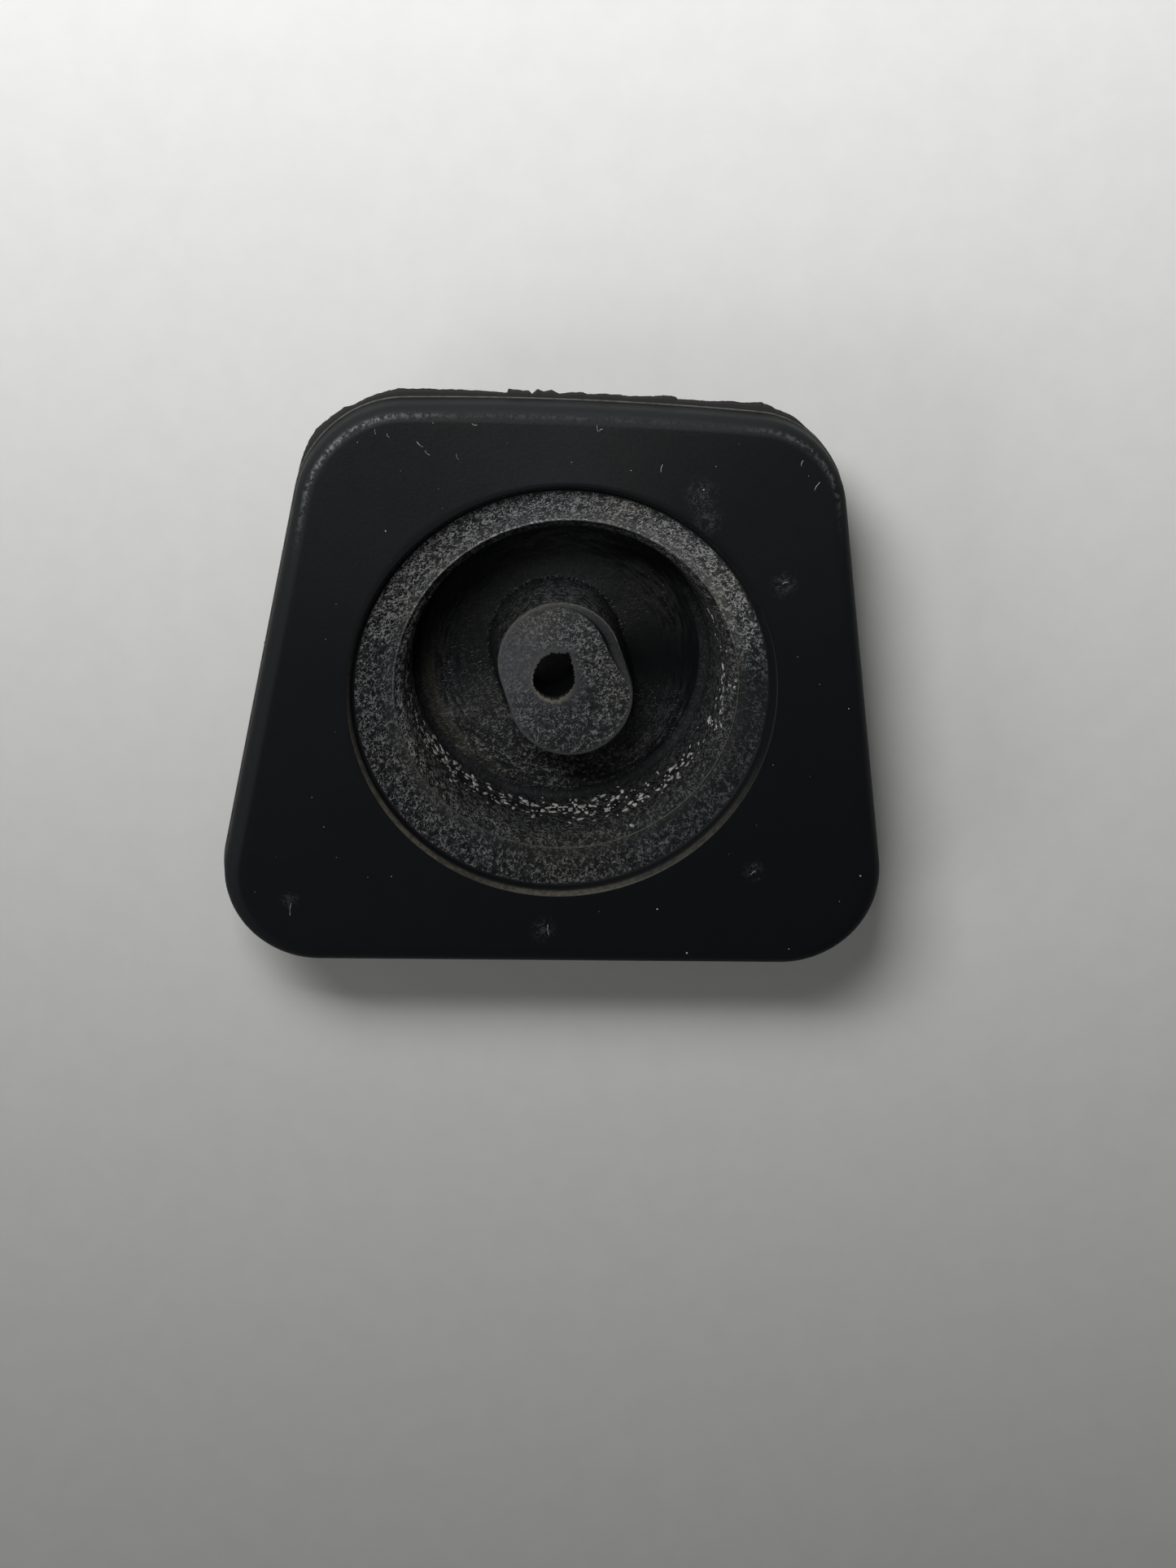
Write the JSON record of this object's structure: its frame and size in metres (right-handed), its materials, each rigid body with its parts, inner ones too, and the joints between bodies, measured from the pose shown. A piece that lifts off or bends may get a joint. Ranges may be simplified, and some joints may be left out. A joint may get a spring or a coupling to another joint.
{
  "type": "rubber grommet",
  "caption": "Moulded black rubber grommet: four-sided rounded flange, round funnel recess, grooved neck, and a central boss with a worn cable hole.",
  "frame": {"origin": "on the standing face of the neck, under the centre of the flange's outline and of the round recess", "axes": "+Z out of the open recess along the cable hole, +Y towards the flange's narrow side"},
  "size_m": [0.0824, 0.0718, 0.0178],
  "materials": {
    "black_rubber": "satin black on the flange, dusty and grained in the recess"
  },
  "bodies": {
    "root": {"grommet": "black_rubber"}
  },
  "joints": []
}
